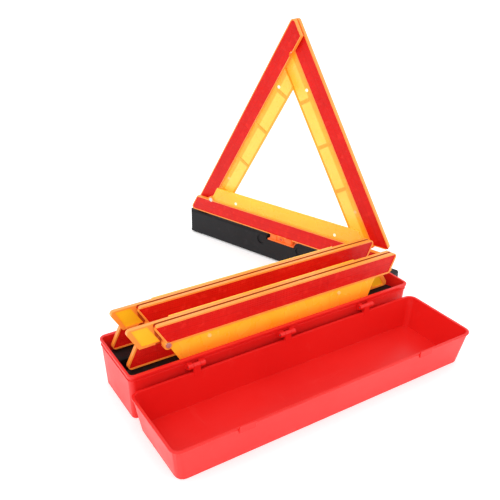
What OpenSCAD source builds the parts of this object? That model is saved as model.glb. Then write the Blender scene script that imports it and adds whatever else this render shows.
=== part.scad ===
// Warning triangle kit: a red case with a hinged lid, two folded triangles
// stowed in the tray and one triangle standing erected on its weighted base.
// Units are millimetres. X runs along the case, Y from the lid side to the
// back of the tray, Z up. The origin is under the middle of the whole kit.

/* [Triangle] */
// outer side of the erected triangle
side = 432; // [400:1:500]
// width of the red reflector band
red_w = 29; // [19:0.5:44]
// width of the fluorescent band inside the red one
fluo_w = 31; // [25:0.5:40]
// width of the bottom arm's fluorescent band, kept below the folded rails
fluo_b = 27; // [24:0.5:28.5]
// thickness of an arm frame
arm_t = 6.5; // [5:0.5:8]
// distance between neighbouring arm layers
pitch = 10; // [9:0.5:10]
// width of the orange rim round a reflector
rim_w = 2.2; // [1.5:0.1:3.5]
// corner radius of the arm ends
tip_r = 5; // [2:0.5:8]
// height of the bottom arm's lower edge above the ground
arm_z = 49; // [49:0.5:52]

/* [Fold] */
// fold of the left arm of the erected triangle, degrees
fold_left = 0; // [0:1:60]
// fold of the right arm of the erected triangle, degrees
fold_right = 0; // [0:1:60]
// lean of the two stowed triangles, degrees
lean = 6; // [5:0.5:7]

/* [Base] */
// length of the weighted base
base_l = 436; // [400:1:437]
// width of the weighted base
base_w = 30; // [28:0.5:30]
// top of the weighted base above the ground
base_top = 46; // [42:0.5:46]
// wall of the base housing
base_wall = 2.2; // [1.6:0.1:3]
// height of the rubber feet
foot_h = 3; // [2:0.5:3.5]

/* [Case] */
// tray length over the rim
tray_l = 448; // [446:1:470]
// tray width over the rim
tray_w = 100; // [99:0.5:110]
// tray height
tray_h = 67.5; // [66:0.5:70]
// wall of tray and lid
case_wall = 2.2; // [1.8:0.1:2.4]
// lid length over the rim
lid_l = 456; // [456:1:470]
// lid width over the rim
lid_w = 118; // [117:0.5:122]
// lid height
lid_h = 49; // [48:0.1:52]

/* [Placement] */
// heading of the erected triangle, degrees
head_a = -70; // [-80:0.5:-60]
// X of the erected triangle's rear left corner
pos_ax = 348.5; // [348:0.1:380]
// Y of the erected triangle's rear left corner
pos_ay = 472; // [465:0.1:480]

/* [Hidden] */
$fn = 32;

RED = [0.90, 0.12, 0.10];
ORANGE = [1.00, 0.55, 0.15];
REFLECT = [0.88, 0.08, 0.08];
FLUO = [1.00, 0.74, 0.10];
BLACK = [0.13, 0.13, 0.14];
RUBBER = [0.07, 0.07, 0.07];
STEEL = [0.62, 0.63, 0.65];

c60 = cos(60);
s60 = sin(60);
tri_h = side * s60;
cut0 = red_w / s60;          // end cut measured along the outer edge
cut1 = red_w / tan(60);      // the same at the inner edge of the red band
corner = red_w * tan(60);    // end of the red band's inner edge
piv_t = 29.5;                // pivots lie on the corner bisectors
pc = piv_t * tan(60);
piv_l = [pc, piv_t];
piv_r = [side - pc, piv_t];
y_bot = -9.5;                // front faces of the three layers
y_right = y_bot - pitch;
y_left = y_bot - 2 * pitch;
refl_t = 1.2;                // reflector thickness
seat_t = 2;                  // depth of its seat in the frame
back_t = 1.1;                // the same for the back of the arm
back_s = 1.5;
back_rim = 1.6;
pan_t = 2.4;
pan_in = 1.6;
pin_r = 2.5;
run = 0.05;
head_r = 3.6;
head_t = 1.4;
ear_r = 6.2;
boss_r = 4.4;

bx0 = side / 2 - base_l / 2; // base ends along the triangle
bx1 = side / 2 + base_l / 2;
mid_x = side / 2;
mid_y = -base_w / 2;
seat_z = base_top - 8;       // turntable recess in the base top
seat_r = 34;
ceil_z = seat_z - 2.5;
riv_r = 4;

hy = -6.6;                   // lid hinge axis
hz = 58.2;
hinge_x = [86, 224, 362];
tray_dx = 2.7;
tray_dy = 3.9;
lid_dx = 7.6;
lid_dy = 7.4;
lid_x0 = tray_l / 2 - lid_l / 2;
lid_y1 = hy;
lid_y0 = hy - lid_w;
rib_floor = 2.4;
stow_x = 8;
stow_z = rib_floor + 0.3;
stow_yb = 36.4;
stow_yc = 87.5;

// the whole kit is centred on its own footprint
shift_x = -(lid_x0 - 1.2 + pos_ax + cos(head_a) * (bx1 - 6)) / 2;
shift_y = -(lid_y0 - 4 + pos_ay + sin(head_a) * bx0 - 6 * cos(head_a)) / 2;

function arc_pts(c, r, a0, a1, n) = [for (i = [0 : n]) c + r * [cos(a0 + (a1 - a0) * i / n), sin(a0 + (a1 - a0) * i / n)]];

module rrect(x0, y0, x1, y1, r, n = 5) {
  polygon(concat(
    arc_pts([x1 - r, y0 + r], r, -90, 0, n),
    arc_pts([x1 - r, y1 - r], r, 0, 90, n),
    arc_pts([x0 + r, y1 - r], r, 90, 180, n),
    arc_pts([x0 + r, y0 + r], r, 180, 270, n)));
}

// band of the triangle seen from the front: x along the outer edge, y inwards.
// i is an inset, e0/e1 the slopes of the ends, r0/r1 the tip radii
module band(l, w, i = 0, a1 = 120, r0 = 0, r1 = 0) {
  // left end rises at 60 degrees; right end at a1 from the x axis
  k = i * (1 / sin(60) + 1 / tan(60));
  k0 = i / sin(60) + i / tan(60);
  k1 = i / sin(a1) - i / tan(a1);
  xa = k0;
  xb = l - k1;
  h = w - 2 * i;
  p0 = [xa, i];
  p1 = [xb, i];
  p2 = [xb + h / tan(a1), i + h];
  p3 = [xa + h / tan(60), i + h];
  // rounded acute corners
  c0 = p0 + [r0 / tan(30), r0];
  half1 = (180 - a1) / 2;
  c1 = p1 + [-r1 / tan(half1), r1];
  polygon(concat(
    r0 > 0 ? arc_pts(c0, r0, 150, 270, 6) : [p0],
    r1 > 0 ? arc_pts(c1, r1, -90, 90 - (180 - a1), 6) : [p1],
    [p2], [p3]));
}

// places a flat shape with its front face at y = f, going t towards the back
module plate(f, t) {
  translate([0, f + t, 0]) rotate([90, 0, 0]) linear_extrude(height = t) children();
}

// bores and pins along Y at a point of the band
module ypin(p, r, y0, y1) {
  translate([p[0], y0, p[1]]) rotate([-90, 0, 0]) cylinder(r = r, h = y1 - y0);
}

// frame of an arm in band coordinates, front face at y = f
module arm_body(f, l, refl_l, piv, bare, s0 = 0, s1 = 0) {
  difference() {
    union() {
      plate(f, arm_t) band(l, red_w, 0, 120, tip_r, tip_r);
      for (p = piv) ypin(p, ear_r, f, f + arm_t);
    }
    // reflector seat
    plate(f - 1, seat_t + 1) band(refl_l, red_w, rim_w, 120, 2, 0);
    // reflector seat in the back
    plate(f + arm_t - back_s, back_s + 1) band(l, red_w, back_rim, 120, 4, l == side ? 4 : 0);
    // slot for the panel tongue
    translate([corner + 14 + s0, f + 2.55, red_w - pan_in]) cube([side - 2 * corner - 28 - s0 - s1, pan_t, pan_in + 1]);
    if (bare) plate(f - 1, seat_t + 1) translate([refl_l + 3.5, 0])
      polygon([[0, rim_w], [l - refl_l - 12.5, rim_w], [l - refl_l - 12.5 - 12, red_w - rim_w], [-cut1 + 1.5, red_w - rim_w]]);
  }
}

// reflector of the back of an arm
module back_plate(f, l) {
  plate(f + arm_t - back_s, back_t) band(l, red_w, back_rim, 120, 4, l == side ? 4 : 0);
}

// fluorescent panel in band coordinates: a thin sheet with a rim and crossbars
// m0, m1 shorten the ends at the band, n0, n1 at the opening
module panel_shape(m0, m1, n0, n1, fw, i = 0) {
  polygon([[corner + 1 + m0 + i * 1.9, red_w + i], [side - corner - 1 - m1 - i * 1.9, red_w + i],
    [side - corner - n1 - i * 0.7, red_w + fw - i], [corner + n0 + i * 0.7, red_w + fw - i]]);
}
module panel_body(f, bars, trim0, trim1, cover = false, fw = fluo_w, m0 = 0, m1 = 0, n0 = 0, n1 = 0) {
  y0 = f + 2.55;
  a = corner;
  b = side - corner;
  difference() {
    union() {
      // sheet
      plate(y0 + 0.6, 1.2) panel_shape(m0, m1, n0, n1, fw);
      if (cover) plate(y0 + 0.6, 1.2) intersection() {
        translate([pc, piv_t]) circle(r = 9);
        translate([pc - 12, red_w]) square([24, 12]);
      }
      // tongue held in the arm
      translate([a + 14 + max(m0, 0), y0, red_w - pan_in]) cube([b - a - 28 - max(m0, 0) - m1, pan_t, pan_in + 0.5]);
      // rim
      plate(y0, pan_t) difference() {
        panel_shape(m0, m1, n0, n1, fw);
        panel_shape(m0, m1, n0, n1, fw, 2.2);
      }
      // crossbars
      for (x = bars) translate([x - 2.2, y0, red_w + 1]) cube([4.4, pan_t, fw - 2]);
      // studs
      for (x = [a + 60, b - 60]) ypin([x, red_w + 7], 2.4, y0 - 0.8, y0 + 0.7);
    }
    for (p = [trim0, trim1]) ypin(p, ear_r + 0.6, f - 2, f + 12);
  }
}

module bottom_pos() { translate([0, 0, arm_z]) children(); }
module right_pos(f = 0) {
  translate([piv_r[0], 0, arm_z + piv_r[1]]) rotate([0, -120 - f, 0]) translate([-pc, 0, -piv_t]) children();
}
module left_pos(f = 0) {
  translate([piv_l[0], 0, arm_z + piv_l[1]]) rotate([0, -240 + f, 0]) translate([pc - side, 0, -piv_t]) children();
}

module bottom_arm() {
  color(ORANGE) bottom_pos() difference() {
    union() {
      arm_body(y_bot, side, side - cut0, [piv_l, piv_r], true);
      ypin(piv_l, boss_r, y_left + arm_t + 0.3, y_bot + 3);
      ypin(piv_r, boss_r, y_right + arm_t + 0.3, y_bot + 3);
    }
    ypin(piv_l, pin_r, y_left - 2, 3);
    ypin(piv_r, pin_r, y_left - 2, 3);
    // seats of the rivet heads in the back
    ypin(piv_l, head_r, y_bot + arm_t - head_t, 3);
    ypin(piv_r, head_r, y_bot + arm_t - head_t, 3);
  }
}
module bottom_reflector() {
  color(REFLECT) bottom_pos() difference() {
    union() {
      plate(y_bot + seat_t - refl_t, refl_t) band(side - cut0, red_w, rim_w, 120, 2, 0);
      back_plate(y_bot, side);
    }
    for (p = [piv_l, piv_r]) ypin(p, boss_r + 0.4, y_left, 3);
  }
}
module bottom_panel() {
  color(FLUO) bottom_pos() panel_body(y_bot, [], piv_l, piv_r, false, fluo_b, 0, 0, fluo_b / tan(60), fluo_b / tan(60));
}
module left_arm(f = 0) {
  color(ORANGE) left_pos(f) difference() {
    arm_body(y_left, side - cut0, side - cut0, [[side - pc, piv_t]], false);
    ypin([side - pc, piv_t], pin_r + run, y_left - 2, 3);
  }
}
module left_reflector(f = 0) {
  color(REFLECT) left_pos(f) difference() {
    union() {
      plate(y_left + seat_t - refl_t, refl_t) band(side - cut0, red_w, rim_w, 120, 2, 0);
      back_plate(y_left, side - cut0);
    }
    ypin([side - pc, piv_t], head_r + 0.5, y_left - 2, 3);
  }
}
module left_panel(f = 0) {
  color(FLUO) left_pos(f) panel_body(y_left, [125, 203, 280], [-50, 0], [side - pc, piv_t], true, fluo_w, -9, 0, fluo_w / tan(60) - 10, fluo_w / tan(60));
}
module right_arm(f = 0) {
  color(ORANGE) right_pos(f) difference() {
    arm_body(y_right, side, side - cut0, [[pc, piv_t]], true, 0, 2 * fluo_w / tan(60) - 9);
    ypin([pc, piv_t], pin_r + run, y_left - 2, 3);
    // clears the left pivot's boss when folded
    ypin([side - pc, piv_t], boss_r + 0.8, y_left - 2, 3);
  }
}
module right_reflector(f = 0) {
  color(REFLECT) right_pos(f) difference() {
    union() {
      plate(y_right + seat_t - refl_t, refl_t) band(side - cut0, red_w, rim_w, 120, 2, 0);
      back_plate(y_right, side);
    }
    ypin([pc, piv_t], head_r + 0.5, y_left - 2, 3);
    ypin([side - pc, piv_t], boss_r + 1.2, y_left - 2, 3);
  }
}
module right_panel(f = 0) {
  color(FLUO) right_pos(f) panel_body(y_right, [83, 161, 239, 316], [pc, piv_t], [side - pc, piv_t + 1], false, fluo_w, 0, 2 * fluo_w / tan(60) - 9, fluo_w / tan(60), fluo_w * tan(60) - 8);
}
module left_pivot() {
  color(STEEL) bottom_pos() union() {
    ypin(piv_l, pin_r, y_left - 0.3 - 0.1, y_bot + arm_t);
    ypin(piv_l, head_r, y_left - 0.3 - head_t, y_left - 0.3);
    ypin(piv_l, head_r, y_bot + arm_t - head_t, y_bot + arm_t);
  }
}
module right_pivot() {
  color(STEEL) bottom_pos() union() {
    ypin(piv_r, pin_r, y_right - 0.3 - 0.1, y_bot + arm_t);
    ypin(piv_r, head_r, y_right - 0.3 - head_t, y_right - 0.3);
    ypin(piv_r, head_r, y_bot + arm_t - head_t, y_bot + arm_t);
  }
}

// profile of the base extruded along X
module xprofile(x0, x1) {
  translate([x0, 0, 0]) rotate([90, 0, 90]) linear_extrude(height = x1 - x0) children();
}
screw_x = [30, 150, 282, 402];
module base_housing() {
  color(BLACK) difference() {
    intersection() {
      xprofile(bx0, bx1) polygon([[-base_w, foot_h], [0, foot_h], [0, base_top - 2.5], [-2, base_top], [2 - base_w, base_top], [-base_w, base_top - 2.5]]);
      translate([0, 0, foot_h - 1]) linear_extrude(height = base_top) polygon([
        [bx0 + 6, -base_w], [bx1 - 6, -base_w], [bx1, 6 - base_w], [bx1, -6], [bx1 - 6, 0], [bx0 + 6, 0], [bx0, -6], [bx0, 6 - base_w]]);
    }
    // turntable recess
    translate([mid_x, mid_y, seat_z]) cylinder(r = seat_r, h = 10, $fn = 64);
    // cavities with a solid bridge under the turntable and one at each screw
    for (s = [[bx0 + base_wall, screw_x[0] - 5], [screw_x[0] + 5, screw_x[1] - 5], [screw_x[1] + 5, screw_x[1] + 16],
              [screw_x[2] - 16, screw_x[2] - 5], [screw_x[2] + 5, screw_x[3] - 5], [screw_x[3] + 5, bx1 - base_wall]])
      translate([s[0], base_wall - base_w, 0]) cube([s[1] - s[0], base_w - 2 * base_wall, base_top - base_wall - 0.3]);
    translate([screw_x[1] + 18, base_wall - base_w, 0]) cube([screw_x[2] - screw_x[1] - 36, base_w - 2 * base_wall, ceil_z]);
    // step for the cover
    translate([bx0 + base_wall, base_wall - base_w, foot_h - 1]) cube([base_l - 2 * base_wall, base_w - 2 * base_wall, 1 + 2]);
    // finger hollows and side grooves
    for (x = [screw_x[0] + 8, screw_x[3] - 48]) translate([x, -base_w - 1, 12]) cube([40, 1.6, 18]);
    for (x = [-42, 42]) ypin([mid_x + x, base_top - 11], 9, -1.5, 2);
    // rivet bore
    translate([mid_x, mid_y, 0]) cylinder(r = riv_r, h = 60);
    // screw bores
    for (x = screw_x) translate([x, mid_y, 0]) cylinder(r = 1.7, h = 22);
    // foot seats
    for (x = [bx0 + 8, bx1 - 28]) translate([x, 3 - base_w, foot_h - 1]) cube([20, base_w - 6, 1]);
  }
}
module base_cover() {
  color(BLACK) difference() {
    translate([bx0 + base_wall, base_wall - base_w, foot_h]) cube([base_l - 2 * base_wall, base_w - 2 * base_wall, 2]);
    for (x = screw_x) translate([x, mid_y, 0]) cylinder(r = 1.7, h = 22);
    for (x = screw_x) translate([x, mid_y, 0]) cylinder(r = 3.4, h = foot_h + 0.8);
  }
}
module ballast() {
  color(STEEL) for (s = [[screw_x[0] + 7, screw_x[1] - 7], [screw_x[2] + 7, screw_x[3] - 7]])
    translate([s[0], 3.5 - base_w, foot_h + 2]) cube([s[1] - s[0], base_w - 7, 26]);
}
module base_feet() {
  color(RUBBER) for (x = [bx0 + 8, bx1 - 28]) difference() {
    translate([x, 3 - base_w, 0]) cube([20, base_w - 6, foot_h]);
    for (sx = screw_x) translate([sx, mid_y, -1]) cylinder(r = 4.6, h = 22);
    for (k = [0 : 3]) translate([x + 2.5 + k * 4.2, -base_w, -1]) cube([2.2, base_w, 1.8]);
  }
}
module cover_screws() {
  color(STEEL) for (x = screw_x) difference() {
    union() {
      translate([x, mid_y, foot_h - 1]) cylinder(r = 3.4, h = 1.8);
      translate([x, mid_y, foot_h]) cylinder(r = 1.7, h = 16);
    }
    translate([x - 3.5, mid_y - 0.4, foot_h - 2]) cube([7, 0.8, 1.7]);
    translate([x - 0.4, mid_y - 3.5, foot_h - 2]) cube([0.8, 7, 1.7]);
  }
}
module swivel_rivet() {
  color(STEEL) translate([mid_x, mid_y, 0]) union() {
    translate([0, 0, ceil_z - 2]) cylinder(r = 6.5, h = 2);
    translate([0, 0, ceil_z - 1]) cylinder(r = riv_r, h = seat_z + 3.3 - ceil_z + 1);
    translate([0, 0, seat_z + 3.1]) cylinder(r1 = 7.2, r2 = 6.4, h = 1.7);
  }
}
module swivel_bracket() {
  z0 = seat_z + 0.3;
  z1 = z0 + 2.5;
  color(ORANGE) difference() {
    union() {
      // plate on the turntable
      translate([mid_x, 0, z0]) linear_extrude(height = z1 - z0) polygon([
        [-28, -0.5], [-28, -9], [-22, -13], [-30, -17], [-26, -27], [-12, -27], [-9, -23.5], [9, -23.5], [12, -27], [26, -27], [30, -17], [22, -13], [28, -9], [28, -0.5]]);
      // pedestal under the bottom arm
      translate([mid_x - 24, y_bot, z0]) cube([48, arm_t, arm_z - z0]);
      // clips
      translate([mid_x - 24, y_bot - 1.4, z0]) cube([48, 1.4, arm_z - z0 + 1.6]);
      for (x = [-22, 10]) translate([mid_x + x, y_bot + arm_t, z0 + 1]) cube([12, 1.2, arm_z - z0 + 0.8]);
      ypin([mid_x, (z1 + arm_z) / 2], 5.2, y_bot + 3, y_bot + arm_t + 1.2);
      // raised ring round the rivet
      translate([mid_x, mid_y, z0]) cylinder(r = 10, h = 2.7);
    }
    translate([mid_x, mid_y, 0]) cylinder(r = riv_r + run, h = 80);
    translate([mid_x - 40, y_bot, arm_z]) cube([80, arm_t, 20]);
    translate([mid_x, mid_y, z1 + 0.1]) cylinder(r = 7.8, h = 20);
    ypin([mid_x, (z1 + arm_z) / 2], 3.2, y_bot, y_bot + arm_t + 3);
  }
}

// rounded box shell opening upwards with drafted walls
module shell_solid(x0, y0, x1, y1, dx, dy0, dy1, h, r, z0) {
  hull() {
    translate([0, 0, z0]) linear_extrude(height = 0.01) rrect(x0 + dx, y0 + dy0, x1 - dx, y1 - dy1, r, 4);
    translate([0, 0, h - 0.01]) linear_extrude(height = 0.01) rrect(x0, y0, x1, y1, r, 4);
  }
}
module rib_profile(yr) {
  t = tan(lean);
  polygon([[yr - 29.8, 2], [yr - 29.8, rib_floor + 29.8 * t], [yr, rib_floor], [yr + 0.35, rib_floor + 0.3], [yr + 8 * sin(lean) + 0.35, rib_floor + 8 * cos(lean)], [yr + 3.4, rib_floor + 8 * cos(lean)], [yr + 3.4, 2]]);
}
module tray() {
  w = case_wall;
  color(RED) difference() {
    union() {
      difference() {
        union() {
          shell_solid(0, 0, tray_l, tray_w, tray_dx, tray_dy, tray_dy, tray_h, 7, 0);
          // rim flange
          translate([0, 0, tray_h - 2.4]) linear_extrude(height = 2.4) rrect(-1, -3, tray_l + 1, tray_w + 3, 10, 5);
          // stiffening bead
          translate([0, 0, tray_h - 9]) linear_extrude(height = 1.6) rrect(-0.6, -0.6, tray_l + 0.6, tray_w + 0.6, 8, 5);
        }
        shell_solid(w, w, tray_l - w, tray_w - w, tray_dx, tray_dy, tray_dy, tray_h + 0.02, 5, w + 0.2);
      }
      // leaning seats for the stowed bases
      for (x = [13, 421]) translate([x, 0, 0]) rotate([90, 0, 90]) linear_extrude(height = 14) union() {
        rib_profile(stow_yb);
        rib_profile(stow_yc);
      }
      // hinge knuckles
      for (x = hinge_x) for (s = [-12, 5]) translate([x + s, 0, 0]) {
        translate([0, hy, hz]) rotate([0, 90, 0]) cylinder(r = 3.6, h = 7);
        xprofile(0, 7) polygon([[hy, hz - 3.6], [2, hz - 8], [2, hz + 3.6], [hy, hz + 3.6]]);
      }
      // catch lugs at the back
      for (x = [86, 362]) translate([x - 9, tray_w + 2, tray_h - 4.4]) cube([18, 9.8, 2.4]);
    }
    for (x = hinge_x) translate([x - 13, hy, hz]) rotate([0, 90, 0]) cylinder(r = 1.5, h = 26);
    // relief round the lid knuckles
    for (x = hinge_x) translate([x - 5, hy, hz]) rotate([0, 90, 0]) cylinder(r = 4.2, h = 10);
  }
}
module lid() {
  w = case_wall;
  x0 = lid_x0;
  x1 = lid_x0 + lid_l;
  color(RED) difference() {
    union() {
      difference() {
        union() {
          shell_solid(x0, lid_y0, x1, lid_y1, lid_dx, lid_dy, 3, lid_h, 11, 0);
          // rolled rim
          translate([0, 0, lid_h - 2]) linear_extrude(height = 2) rrect(x0 - 1.2, lid_y0 - 1.2, x1 + 1.2, lid_y1 + 1.2, 12.2, 6);
        }
        shell_solid(x0 + w, lid_y0 + w, x1 - w, lid_y1 - w, lid_dx, lid_dy, 3, lid_h + 0.02, 9, w + 0.1);
      }
      // hinge ears
      for (x = hinge_x) translate([x - 4.7, 0, 0]) {
        translate([0, hy, hz]) rotate([0, 90, 0]) cylinder(r = 3.6, h = 9.4);
        xprofile(0, 9.4) polygon([[hy - 3, lid_h - 6], [hy + 0.5, lid_h - 6], [hy + 1.2, lid_h], [hy + 3, hz - 2], [hy + 3, hz], [hy - 3.2, hz], [hy - 3, lid_h]]);
      }
    }
    for (x = hinge_x) translate([x - 13, hy, hz]) rotate([0, 90, 0]) cylinder(r = 1.5 + run, h = 26);
  }
}
module lid_latches() {
  color(RED) for (x = [86, 362]) translate([x - 11, 0, 0])
    xprofile(0, 22) polygon([[lid_y0 - 1.2, lid_h - 4.5], [lid_y0 - 1.2, lid_h], [lid_y0 - 2.4, lid_h + 4.5], [lid_y0 - 4, lid_h + 4.5], [lid_y0 - 4, lid_h - 4.5]]);
}
module hinge_pins() {
  color(STEEL) for (x = hinge_x) translate([x - 12, hy, hz]) rotate([0, 90, 0]) cylinder(r = 1.5, h = 24);
}

module kit() { translate([shift_x, shift_y, 0]) children(); }
// the erected triangle is seen from its back
module at_a() { kit() translate([pos_ax, pos_ay, 0]) rotate([0, 0, head_a]) translate([side, -base_w, 0]) rotate([0, 0, 180]) children(); }
module at_b() { kit() translate([stow_x, stow_yb, stow_z]) rotate([-lean, 0, 0]) children(); }
module at_c() { kit() translate([stow_x, stow_yc, stow_z]) rotate([-lean, 0, 0]) children(); }

// one line per node
kit() tray();
kit() lid();
kit() lid_latches();
kit() hinge_pins();
at_a() base_housing();  // base_housing_a
at_a() base_cover();  // base_cover_a
at_a() ballast();  // ballast_a
at_a() base_feet();  // base_feet_a
at_a() cover_screws();  // cover_screws_a
at_a() swivel_rivet();  // swivel_rivet_a
at_a() swivel_bracket();  // swivel_bracket_a
at_a() bottom_arm();  // bottom_arm_a
at_a() bottom_reflector();  // bottom_reflector_a
at_a() bottom_panel();  // bottom_panel_a
at_a() left_arm(fold_left);  // left_arm_a
at_a() left_reflector(fold_left);  // left_reflector_a
at_a() left_panel(fold_left);  // left_panel_a
at_a() left_pivot();  // left_pivot_a
at_a() right_arm(fold_right);  // right_arm_a
at_a() right_reflector(fold_right);  // right_reflector_a
at_a() right_panel(fold_right);  // right_panel_a
at_a() right_pivot();  // right_pivot_a
at_b() base_housing();  // base_housing_b
at_b() base_cover();  // base_cover_b
at_b() ballast();  // ballast_b
at_b() base_feet();  // base_feet_b
at_b() cover_screws();  // cover_screws_b
at_b() swivel_rivet();  // swivel_rivet_b
at_b() swivel_bracket();  // swivel_bracket_b
at_b() bottom_arm();  // bottom_arm_b
at_b() bottom_reflector();  // bottom_reflector_b
at_b() bottom_panel();  // bottom_panel_b
at_b() left_arm(60);  // left_arm_b
at_b() left_reflector(60);  // left_reflector_b
at_b() left_panel(60);  // left_panel_b
at_b() left_pivot();  // left_pivot_b
at_b() right_arm(60);  // right_arm_b
at_b() right_reflector(60);  // right_reflector_b
at_b() right_panel(60);  // right_panel_b
at_b() right_pivot();  // right_pivot_b
at_c() base_housing();  // base_housing_c
at_c() base_cover();  // base_cover_c
at_c() ballast();  // ballast_c
at_c() base_feet();  // base_feet_c
at_c() cover_screws();  // cover_screws_c
at_c() swivel_rivet();  // swivel_rivet_c
at_c() swivel_bracket();  // swivel_bracket_c
at_c() bottom_arm();  // bottom_arm_c
at_c() bottom_reflector();  // bottom_reflector_c
at_c() bottom_panel();  // bottom_panel_c
at_c() left_arm(60);  // left_arm_c
at_c() left_reflector(60);  // left_reflector_c
at_c() left_panel(60);  // left_panel_c
at_c() left_pivot();  // left_pivot_c
at_c() right_arm(60);  // right_arm_c
at_c() right_reflector(60);  // right_reflector_c
at_c() right_panel(60);  // right_panel_c
at_c() right_pivot();  // right_pivot_c
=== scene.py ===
import math

import bmesh
import bpy
from mathutils import Matrix, Vector

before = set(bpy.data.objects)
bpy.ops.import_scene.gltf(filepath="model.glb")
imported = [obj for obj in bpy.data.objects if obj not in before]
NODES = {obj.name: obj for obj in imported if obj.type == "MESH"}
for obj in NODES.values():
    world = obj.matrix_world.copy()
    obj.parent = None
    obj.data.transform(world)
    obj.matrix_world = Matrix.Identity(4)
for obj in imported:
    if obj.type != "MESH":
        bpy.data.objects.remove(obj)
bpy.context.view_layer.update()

# ---------------------------------------------------------------- geometry
# the same numbers as part.scad, in millimetres
SIDE = 432.0
RED_W = 29.0
ARM_Z = 49.0
PIV_T = 29.5
PIV_S = PIV_T * math.tan(math.radians(60))
CORNER = RED_W * math.tan(math.radians(60))
CUT0 = RED_W / math.sin(math.radians(60))
CUT1 = RED_W / math.tan(math.radians(60))
Y_FRONT = {"bottom": -9.5, "right": -19.5, "left": -29.5}
FLUO_W = 31.0
BARS = {"left": (125, 203, 280), "right": (83, 161, 239, 316), "bottom": ()}
PAN_Y = 2.55
SEAT_T = 2.0
BASE_W = 30.0
HEAD = math.radians(-70)
POS_A = (348.5, 472.0)
LEAN = math.radians(6)
STOW = {"b": (8.0, 36.4, 2.7), "c": (8.0, 87.5, 2.7)}
TRAY_L, TRAY_W, TRAY_H = 448.0, 100.0, 67.5
LID_L, LID_W, LID_H = 456.0, 118.0, 49.0
HY, HZ = -6.6, 58.2
LID_X0 = TRAY_L / 2 - LID_L / 2
LID_Y0 = HY - LID_W
BX0 = SIDE / 2 - 218
BX1 = SIDE / 2 + 218
SHIFT_X = -(LID_X0 - 1.2 + POS_A[0] + math.cos(HEAD) * (BX1 - 6)) / 2
SHIFT_Y = -(LID_Y0 - 4 + POS_A[1] + math.sin(HEAD) * BX0 - 6 * math.cos(HEAD)) / 2


def T(x, y, z):
    return Matrix.Translation((x, y, z))


def R(deg, axis):
    return Matrix.Rotation(math.radians(deg), 4, axis)


KIT = T(SHIFT_X, SHIFT_Y, 0)
TURN = T(SIDE, -BASE_W, 0) @ Matrix.Rotation(math.pi, 4, "Z")
PLACE = {"a": KIT @ T(POS_A[0], POS_A[1], 0) @ Matrix.Rotation(HEAD, 4, "Z") @ TURN}
for _k, _p in STOW.items():
    PLACE[_k] = KIT @ T(*_p) @ Matrix.Rotation(-LEAN, 4, "X")


def arm_matrix(kit, arm):
    """Band coordinates in mm (along the outer edge, depth, inwards) to row frame in mm."""
    fold = 0 if kit == "a" else 60
    if arm == "bottom":
        m = T(0, 0, ARM_Z)
    elif arm == "right":
        m = T(SIDE - PIV_S, 0, ARM_Z + PIV_T) @ R(-120 - fold, "Y") @ T(-PIV_S, 0, -PIV_T)
    else:
        m = T(PIV_S, 0, ARM_Z + PIV_T) @ R(-240 + fold, "Y") @ T(PIV_S - SIDE, 0, -PIV_T)
    return PLACE[kit] @ m @ T(0, Y_FRONT[arm], 0)


def arm_body(kit, arm):
    if arm == "bottom":
        return "bottom_a" if kit == "a" else "base_" + kit
    return arm + "_" + kit


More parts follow.
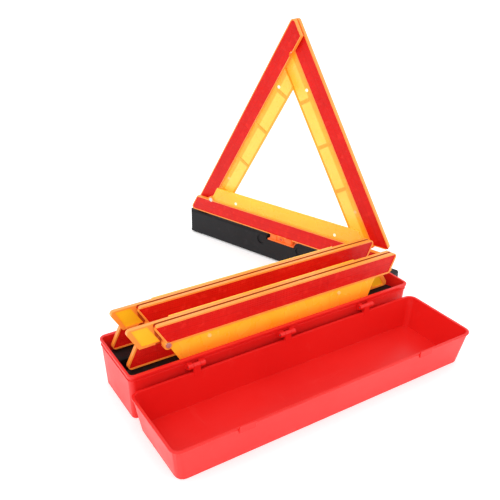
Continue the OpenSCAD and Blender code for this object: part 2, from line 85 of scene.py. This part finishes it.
# ---------------------------------------------------------------- node helpers
class Mat:
    def __init__(self, name):
        self.m = bpy.data.materials.new(name)
        self.m.use_nodes = True
        self.t = self.m.node_tree
        self.n = self.t.nodes
        self.b = self.n["Principled BSDF"]

    def new(self, kind, **kw):
        n = self.n.new(kind)
        for k, v in kw.items():
            setattr(n, k, v)
        return n

    def link(self, a, b):
        self.t.links.new(a, b)

    def coords(self):
        return self.new("ShaderNodeTexCoord").outputs["Object"]

    def math(self, op, a, b=None, c=None, clamp=False):
        n = self.new("ShaderNodeMath", operation=op)
        n.use_clamp = clamp
        for i, v in enumerate((a, b, c)):
            if v is None:
                continue
            if isinstance(v, (int, float)):
                n.inputs[i].default_value = v
            else:
                self.link(v, n.inputs[i])
        return n.outputs[0]

    def dot(self, vec, const):
        n = self.new("ShaderNodeVectorMath", operation="DOT_PRODUCT")
        self.link(vec, n.inputs[0])
        n.inputs[1].default_value = const
        return n.outputs["Value"]

    def noise(self, vec, scale, detail=3.0, rough=0.5, dist=0.0):
        n = self.new("ShaderNodeTexNoise")
        self.link(vec, n.inputs["Vector"])
        n.inputs["Scale"].default_value = scale
        n.inputs["Detail"].default_value = detail
        n.inputs["Roughness"].default_value = rough
        n.inputs["Distortion"].default_value = dist
        return n.outputs["Fac"]

    def ramp(self, fac, stops, interp="LINEAR"):
        n = self.new("ShaderNodeValToRGB")
        n.color_ramp.interpolation = interp
        el = n.color_ramp.elements
        while len(el) < len(stops):
            el.new(0.5)
        for e, (p, c) in zip(el, stops):
            e.position = p
            e.color = (*c, 1) if len(c) == 3 else c
        self.link(fac, n.inputs[0])
        return n.outputs[0]

    def mix(self, fac, a, b, blend="MIX"):
        n = self.new("ShaderNodeMix", data_type="RGBA", blend_type=blend)
        for i, v in ((0, fac), (6, a), (7, b)):
            if isinstance(v, (int, float)):
                n.inputs[i].default_value = v
            elif isinstance(v, tuple):
                n.inputs[i].default_value = (*v, 1)
            else:
                self.link(v, n.inputs[i])
        return n.outputs[2]

    def bump(self, height, strength, distance, normal=None):
        n = self.new("ShaderNodeBump")
        n.inputs["Strength"].default_value = strength
        n.inputs["Distance"].default_value = distance
        self.link(height, n.inputs["Height"])
        if normal is not None:
            self.link(normal, n.inputs["Normal"])
        return n.outputs["Normal"]

    def stretch(self, vec, sx, sy, sz, rot=(0, 0, 0)):
        n = self.new("ShaderNodeMapping")
        self.link(vec, n.inputs["Vector"])
        n.inputs["Scale"].default_value = (sx, sy, sz)
        n.inputs["Rotation"].default_value = rot
        return n.outputs[0]

    def set(self, **kw):
        for k, v in kw.items():
            self.b.inputs[k.replace("_", " ")].default_value = v

    def band(self, kit, arm):
        """Scalars s, d, t in mm in the arm's own band coordinates."""
        inv = arm_matrix(kit, arm).inverted()
        vec = self.coords()
        out = []
        for row in range(3):
            d = self.dot(vec, tuple(inv[row][i] * 1000 for i in range(3)))
            out.append(self.math("ADD", d, inv[row][3]))
        return vec, out[0], out[1], out[2]


def scratches(m, vec, scale, amount):
    """Thin handling marks: stretched noise pushed through a narrow ramp."""
    a = m.noise(m.stretch(vec, 1.0, 0.12, 0.6, (0.3, 0.1, 0.5)), scale, 2.0, 0.6, 0.4)
    b = m.noise(m.stretch(vec, 0.15, 1.0, 0.5, (0.1, 0.6, 1.2)), scale * 0.8, 2.0, 0.6, 0.4)
    ra = m.ramp(a, [(0.0, (0, 0, 0)), (0.66, (0, 0, 0)), (0.69, (1, 1, 1)), (0.72, (0, 0, 0))])
    rb = m.ramp(b, [(0.0, (0, 0, 0)), (0.68, (0, 0, 0)), (0.70, (1, 1, 1)), (0.72, (0, 0, 0))])
    s = m.math("ADD", ra, rb, clamp=True)
    return m.math("MULTIPLY", s, amount)


def case_red():
    m = Mat("case_red_plastic")
    vec = m.coords()
    cloud = m.noise(vec, 6.0, 3.0)
    base = m.ramp(cloud, [(0.3, (0.79, 0.012, 0.010)), (0.7, (0.86, 0.018, 0.014))])
    wear = scratches(m, vec, 60.0, 0.16)
    col = m.mix(wear, base, (0.86, 0.06, 0.05))
    m.link(col, m.b.inputs["Base Color"])
    fine = m.noise(vec, 900.0, 2.0)
    rough = m.ramp(m.noise(vec, 30.0, 4.0), [(0.3, (0.30,) * 3), (0.7, (0.40,) * 3)])
    m.link(m.math("ADD", rough, m.math("MULTIPLY", wear, 0.25)), m.b.inputs["Roughness"])
    peel = m.noise(vec, 110.0, 2.0)
    n1 = m.bump(fine, 0.08, 0.0003)
    n2 = m.bump(peel, 0.05, 0.0010, n1)
    n3 = m.bump(wear, -0.12, 0.0003, n2)
    m.link(n3, m.b.inputs["Normal"])
    m.set(Specular_IOR_Level=0.32, Coat_Weight=0.06, Coat_Roughness=0.22)
    m.set(Subsurface_Weight=0.06, Subsurface_Radius=(0.006, 0.001, 0.0008), Subsurface_Scale=0.5)
    return m.m


def frame_orange(kit, arm, name="frame_orange_plastic"):
    """Arm frame: light orange rims, yellow where the bare seat is thin."""
    m = Mat(f"{name}_{arm}_{kit}")
    vec, s, d, t = m.band(kit, arm)
    # 1 in the bare seat floor, 0 on rims and edges
    deep = m.math("SUBTRACT", 1.0, m.math("MULTIPLY", m.math("ABSOLUTE", m.math("SUBTRACT", d, SEAT_T)), 3.0), clamp=True)
    cloud = m.noise(vec, 9.0, 3.0)
    rim = m.ramp(cloud, [(0.3, (0.97, 0.27, 0.030)), (0.7, (1.0, 0.33, 0.045))])
    floor_c = m.ramp(cloud, [(0.3, (0.97, 0.52, 0.008)), (0.7, (1.0, 0.60, 0.018))])
    # the slots between stacked arms stay dark: painted shade on their faces
    if kit != "a" and arm != "bottom":
        if arm == "left":
            slot_shade = m.math("MULTIPLY", m.math("SUBTRACT", d, 6.2), 8.0, clamp=True)
        else:
            slot_shade = m.math("MULTIPLY", m.math("SUBTRACT", 0.3, d), 8.0, clamp=True)
            slot_shade = m.math("MULTIPLY", slot_shade, m.math("MULTIPLY", m.math("SUBTRACT", SIDE - CUT0 - 4.0, s), 0.5, clamp=True))
        # painted shade colour mixed into the slot faces
        rim = m.mix(slot_shade, rim, (0.46, 0.06, 0.003))
    col = m.mix(deep, rim, floor_c)
    wear = scratches(m, vec, 90.0, 0.3)
    col = m.mix(wear, col, (1.0, 0.5, 0.2))
    m.link(col, m.b.inputs["Base Color"])
    rough = m.ramp(m.noise(vec, 45.0, 3.0), [(0.3, (0.30,) * 3), (0.7, (0.42,) * 3)])
    m.link(rough, m.b.inputs["Roughness"])
    n1 = m.bump(m.noise(vec, 700.0, 2.0), 0.08, 0.0003)
    n2 = m.bump(m.noise(m.stretch(vec, 1, 1, 1), 160.0, 2.0), 0.04, 0.0008, n1)
    m.link(n2, m.b.inputs["Normal"])
    m.set(Specular_IOR_Level=0.5, Subsurface_Weight=0.15, Subsurface_Radius=(0.010, 0.004, 0.001), Subsurface_Scale=0.6)
    # painted glow: the frame weakly emits its own colour, though it is no lamp
    m.link(col, m.b.inputs["Emission Color"])
    m.set(Emission_Strength=0.10)
    return m.m


def bracket_orange():
    m = Mat("bracket_orange_plastic")
    vec = m.coords()
    col = m.ramp(m.noise(vec, 25.0, 3.0), [(0.3, (0.88, 0.145, 0.008)), (0.7, (0.94, 0.185, 0.013))])
    m.link(col, m.b.inputs["Base Color"])
    m.link(m.ramp(m.noise(vec, 60.0, 3.0), [(0.3, (0.32,) * 3), (0.7, (0.45,) * 3)]), m.b.inputs["Roughness"])
    m.link(m.bump(m.noise(vec, 700.0, 2.0), 0.1, 0.0003), m.b.inputs["Normal"])
    # painted glow: the bracket weakly emits its own colour, though it is no lamp
    m.set(Emission_Strength=0.05)
    m.link(col, m.b.inputs["Emission Color"])
    return m.m


def fluorescent(kit, arm):
    """Painted light through the thin translucent windows: they are lighter than the rim, crossbars and tongue."""
    m = Mat(f"panel_fluorescent_{arm}_{kit}")
    vec, s, d, t = m.band(kit, arm)
    # painted light in the thin windows between the crossbars, darker towards the red band
    cloud = m.noise(vec, 14.0, 3.0, 0.55)
    edge = m.math("MULTIPLY", m.math("SUBTRACT", t, RED_W + 8.0), 0.5, clamp=True)
    top = m.math("MULTIPLY", m.math("SUBTRACT", RED_W + FLUO_W - 3.2, t), 1.2, clamp=True)
    light = m.math("MULTIPLY", edge, top)
    for x in BARS[arm]:
        off = m.math("MULTIPLY", m.math("SUBTRACT", m.math("ABSOLUTE", m.math("SUBTRACT", s, x)), 2.6), 0.9, clamp=True)
        light = m.math("MULTIPLY", light, off)
    if arm == "bottom":
        win = m.ramp(cloud, [(0.3, (0.95, 0.40, 0.010)), (0.7, (0.97, 0.46, 0.015))])
        rim = m.ramp(cloud, [(0.3, (0.97, 0.34, 0.008)), (0.7, (0.99, 0.39, 0.012))])
        light = m.math("MULTIPLY", m.math("SUBTRACT", t, RED_W), 0.036, clamp=True)
    elif kit == "a":
        win = m.ramp(cloud, [(0.3, (0.92, 0.43, 0.046)), (0.7, (0.95, 0.50, 0.078))])
        rim = m.ramp(cloud, [(0.3, (0.84, 0.27, 0.003)), (0.7, (0.88, 0.32, 0.005))])
    else:
        # folded strips hang in the shade: painted shade makes them deeper orange towards the free edge
        win = m.ramp(cloud, [(0.3, (0.98, 0.17, 0.003)), (0.7, (1.0, 0.21, 0.005))])
        rim = m.ramp(cloud, [(0.3, (0.97, 0.46, 0.012)), (0.7, (0.99, 0.52, 0.020))])
        light = m.math("MULTIPLY", m.math("SUBTRACT", t, RED_W), 0.030, clamp=True)
    # blend of the painted lit window colour and the darker rim colour
    col = m.mix(light, rim, win)
    # faint moulded waves in the sheet, running with the arm
    wave = m.noise(m.stretch(vec, 1, 1, 1), 38.0, 2.0, 0.4, 0.8)
    col = m.mix(m.math("MULTIPLY", wave, 0.10), col, (1.0, 0.80, 0.25))
    # painted glints where the moulded studs sit behind the sheet, weaker near the pivots
    for x, far in ((CORNER + 60, arm != "right"), (SIDE - CORNER - 60, arm != "left")):
        du = m.math("SUBTRACT", s, x)
        dv = m.math("SUBTRACT", t, RED_W + 7)
        r = m.math("SQRT", m.math("ADD", m.math("MULTIPLY", du, du), m.math("MULTIPLY", dv, dv)))
        stud_glint = m.math("MULTIPLY", m.math("SUBTRACT", 3.0, r), 1.6, clamp=True)
        col = m.mix(m.math("MULTIPLY", stud_glint, 0.85 if kit == "a" and far else 0.20), col, (1.0, 0.95, 0.80))
    m.link(col, m.b.inputs["Base Color"])
    m.link(m.ramp(m.noise(vec, 50.0, 3.0), [(0.3, (0.22,) * 3), (0.7, (0.34,) * 3)]), m.b.inputs["Roughness"])
    # fine diffusing squares moulded into the sheet
    gs = m.math("PINGPONG", s, 0.9)
    gt = m.math("PINGPONG", t, 0.9)
    grid = m.math("MULTIPLY", m.math("ADD", gs, gt), 0.5)
    n1 = m.bump(grid, 0.10, 0.0004)
    n2 = m.bump(wave, 0.15, 0.0015, n1)
    m.link(n2, m.b.inputs["Normal"])
    m.set(Specular_IOR_Level=0.5, Subsurface_Weight=0.30, Subsurface_Radius=(0.012, 0.008, 0.002), Subsurface_Scale=0.8)
    # painted glow: the panel emits its own colour, though it is no lamp
    m.link(col, m.b.inputs["Emission Color"])
    m.set(Emission_Strength=0.28)
    return m.m


def reflector(kit, arm):
    """Red prismatic lens: corner-cube cells of about 3 mm, two rows split by a seam."""
    m = Mat(f"reflector_red_{arm}_{kit}")
    vec, s, d, t = m.band(kit, arm)
    cells = None
    hs = []
    for ang in (0, 60, 120):
        c, q = math.cos(math.radians(ang)), math.sin(math.radians(ang))
        v = m.math("ADD", m.math("MULTIPLY", s, c), m.math("MULTIPLY", t, q))
        hs.append(m.math("PINGPONG", v, 1.3))
    low = m.math("MINIMUM", m.math("MINIMUM", hs[0], hs[1]), hs[2])
    total = m.math("ADD", m.math("ADD", hs[0], hs[1]), hs[2])
    facet = m.math("MULTIPLY", total, 0.26, clamp=True)
    # seam along the middle and block joints across
    seam = m.math("SUBTRACT", 1.0, m.math("MULTIPLY", m.math("ABSOLUTE", m.math("SUBTRACT", t, 14.0)), 1.6), clamp=True)
    block = m.math("SUBTRACT", 1.0, m.math("MULTIPLY", m.math("PINGPONG", s, 22.0), 1.6), clamp=True)
    lines = m.math("MAXIMUM", seam, m.math("MULTIPLY", block, 0.7))
    cloud = m.noise(vec, 22.0, 3.0, 0.6)
    base = m.ramp(cloud, [(0.3, (0.55, 0.004, 0.003)), (0.7, (0.66, 0.008, 0.005))])
    # painted reflections: the prism cells and a few streaks are lit brighter in the colour
    sheen_streak = m.noise(m.stretch(vec, 1, 1, 1), 130.0, 1.0)
    facet_sheen = m.mix(m.math("MULTIPLY", facet, 0.30), base, (0.88, 0.022, 0.014))
    facet_sheen = m.mix(m.math("MULTIPLY", m.ramp(sheen_streak, [(0.55, (0, 0, 0)), (0.75, (1, 1, 1))]), 0.20), facet_sheen, (0.95, 0.05, 0.03))
    col = m.mix(m.math("MULTIPLY", lines, 0.45), facet_sheen, (0.42, 0.003, 0.004))
    m.link(col, m.b.inputs["Base Color"])
    m.link(m.math("ADD", 0.16, m.math("MULTIPLY", low, 0.06)), m.b.inputs["Roughness"])
    n1 = m.bump(total, 0.30, 0.0006)
    n2 = m.bump(lines, -0.4, 0.0006, n1)
    m.link(n2, m.b.inputs["Normal"])
    m.set(Specular_IOR_Level=0.16, Coat_Weight=0.04, Coat_Roughness=0.08)
    # painted glow: the lens weakly emits its own colour, though it is no lamp
    m.link(col, m.b.inputs["Emission Color"])
    m.set(Emission_Strength=0.10)
    return m.m


def base_black():
    m = Mat("base_black_plastic")
    vec = m.coords()
    cloud = m.noise(vec, 12.0, 3.0)
    dust = m.noise(vec, 70.0, 5.0, 0.7)
    base = m.ramp(cloud, [(0.3, (0.007, 0.007, 0.008)), (0.7, (0.012, 0.012, 0.014))])
    col = m.mix(m.ramp(dust, [(0.56, (0, 0, 0)), (0.74, (0.4, 0.4, 0.4))]), base, (0.045, 0.045, 0.048))
    m.link(col, m.b.inputs["Base Color"])
    m.link(m.ramp(dust, [(0.3, (0.45,) * 3), (0.7, (0.62,) * 3)]), m.b.inputs["Roughness"])
    v = m.new("ShaderNodeTexVoronoi")
    m.link(vec, v.inputs["Vector"])
    v.inputs["Scale"].default_value = 620.0
    n1 = m.bump(v.outputs["Distance"], 0.25, 0.0004)
    n2 = m.bump(m.noise(vec, 150.0, 3.0), 0.10, 0.0008, n1)
    m.link(n2, m.b.inputs["Normal"])
    m.set(Specular_IOR_Level=0.22)
    return m.m


def steel(name="plated_steel", dark=False):
    m = Mat(name)
    vec = m.coords()
    c = 0.28 if dark else 0.55
    col = m.ramp(m.noise(vec, 55.0, 4.0), [(0.3, (c, c, c * 1.02)), (0.7, (c * 1.25, c * 1.24, c * 1.22))])
    m.link(col, m.b.inputs["Base Color"])
    brushed = m.noise(m.stretch(vec, 1.0, 1.0, 18.0), 240.0, 2.0)
    m.link(m.ramp(brushed, [(0.3, (0.26,) * 3), (0.7, (0.42,) * 3)]), m.b.inputs["Roughness"])
    m.link(m.bump(brushed, 0.10, 0.0002), m.b.inputs["Normal"])
    m.set(Metallic=1.0)
    return m.m


def rubber():
    m = Mat("foot_rubber")
    vec = m.coords()
    col = m.ramp(m.noise(vec, 40.0, 4.0), [(0.3, (0.012, 0.012, 0.012)), (0.7, (0.022, 0.021, 0.021))])
    m.link(col, m.b.inputs["Base Color"])
    m.link(m.ramp(m.noise(vec, 200.0, 3.0), [(0.3, (0.72,) * 3), (0.7, (0.88,) * 3)]), m.b.inputs["Roughness"])
    m.link(m.bump(m.noise(vec, 500.0, 3.0), 0.3, 0.0004), m.b.inputs["Normal"])
    m.set(Specular_IOR_Level=0.3)
    return m.m


MATS = {
    "red": case_red(),
    "black": base_black(),
    "steel": steel(),
    "ballast": steel("ballast_steel", dark=True),
    "rubber": rubber(),
    "bracket": bracket_orange(),
}


def assign(obj, mat):
    obj.data.materials.clear()
    obj.data.materials.append(mat)


def soften(obj, width, angle=32, segments=2):
    """Rounds the moulded edges without touching the CAD mesh itself."""
    w = obj.modifiers.new("join", "WELD")
    w.merge_threshold = 0.00001
    b = obj.modifiers.new("round", "BEVEL")
    b.width = width / 1000
    b.segments = segments
    b.limit_method = "ANGLE"
    b.angle_limit = math.radians(angle)
    b.use_clamp_overlap = True
    b.harden_normals = False
    n = obj.modifiers.new("normals", "WEIGHTED_NORMAL")
    n.keep_sharp = False


for name, obj in NODES.items():
    kit = name[-1] if name[-2:-1] == "_" else ""
    stem = name[:-2] if kit else name
    arm = stem.split("_")[0]
    if stem in ("tray", "lid", "lid_latches"):
        assign(obj, MATS["red"])
        soften(obj, 0.55 if stem != "lid_latches" else 0.4)
    elif stem.endswith("_reflector"):
        assign(obj, reflector(kit, arm))
        soften(obj, 0.25)
    elif stem.endswith("_panel"):
        assign(obj, fluorescent(kit, arm))
        soften(obj, 0.2)
    elif stem.endswith("_arm"):
        assign(obj, frame_orange(kit, arm))
        soften(obj, 0.45)
    elif stem == "swivel_bracket":
        assign(obj, MATS["bracket"])
        soften(obj, 0.3)
    elif stem in ("base_housing", "base_cover"):
        assign(obj, MATS["black"])
        soften(obj, 0.5)
    elif stem == "base_feet":
        assign(obj, MATS["rubber"])
        soften(obj, 0.3)
    elif stem == "ballast":
        assign(obj, MATS["ballast"])
        soften(obj, 0.6)
    else:
        assign(obj, MATS["steel"])
        soften(obj, 0.2)
    for p in obj.data.polygons:
        p.use_smooth = True


# ---------------------------------------------------------------- floor
def pale_floor():
    m = Mat("pale_floor")
    vec = m.coords()
    col = m.ramp(m.noise(vec, 3.0, 2.0), [(0.3, (0.93, 0.93, 0.93)), (0.7, (0.95, 0.95, 0.95))])
    m.link(col, m.b.inputs["Base Color"])
    m.set(Roughness=0.9, Specular_IOR_Level=0.1)
    m.b.inputs["Emission Color"].default_value = (1, 1, 1, 1)
    m.set(Emission_Strength=0.32)
    return m.m


me = bpy.data.meshes.new("floor")
bm = bmesh.new()
bmesh.ops.create_grid(bm, x_segments=1, y_segments=1, size=8.0)
bm.to_mesh(me)
bm.free()
floor = bpy.data.objects.new("floor", me)
bpy.context.scene.collection.objects.link(floor)
floor.location = (0, 0, -0.0002)
assign(floor, pale_floor())

# ---------------------------------------------------------------- light
bpy.context.scene.view_settings.view_transform = "Standard"
bpy.context.scene.view_settings.look = "None"
world = bpy.data.worlds.new("studio")
bpy.context.scene.world = world
world.use_nodes = True
bg = world.node_tree.nodes["Background"]
bg.inputs["Color"].default_value = (1.0, 1.0, 1.0, 1)
bg.inputs["Strength"].default_value = 1.0


def area(name, loc, target, size, power):
    data = bpy.data.lights.new(name, "AREA")
    data.shape = "RECTANGLE"
    data.size, data.size_y = size
    data.energy = power
    o = bpy.data.objects.new(name, data)
    bpy.context.scene.collection.objects.link(o)
    o.location = loc
    d = Vector(target) - Vector(loc)
    o.rotation_euler = d.to_track_quat("-Z", "Y").to_euler()
    return o


area("key", (-1.5, -1.3, 1.7), (0, 0, 0.05), (1.2, 1.2), 9)
area("top", (0.1, 0.2, 2.2), (0, 0, 0), (2.2, 2.2), 4)
area("fill", (1.7, -0.9, 0.9), (0, 0, 0.1), (1.2, 1.2), 2)

# ---------------------------------------------------------------- camera
CAM = (-0.4723, -0.7940, 0.5610)
YAW, PITCH, ROLL = 32.365, 26.457, 0.743
LENS = 48.529
cy, sy = math.cos(math.radians(YAW)), math.sin(math.radians(YAW))
cp, sp = math.cos(math.radians(PITCH)), math.sin(math.radians(PITCH))
fwd = Vector((sy * cp, cy * cp, -sp))
right = Vector((cy, -sy, 0))
up = right.cross(fwd)
cr, sr = math.cos(math.radians(ROLL)), math.sin(math.radians(ROLL))
r2 = right * cr + up * sr
u2 = -right * sr + up * cr
cam = bpy.data.cameras.new("camera")
cam.lens = LENS
cam.sensor_width = 36
cam.clip_end = 30
co = bpy.data.objects.new("camera", cam)
bpy.context.scene.collection.objects.link(co)
rot = Matrix((r2, u2, -fwd)).transposed().to_4x4()
co.matrix_world = Matrix.Translation(CAM) @ rot
bpy.context.scene.camera = co

bpy.context.view_layer.update()
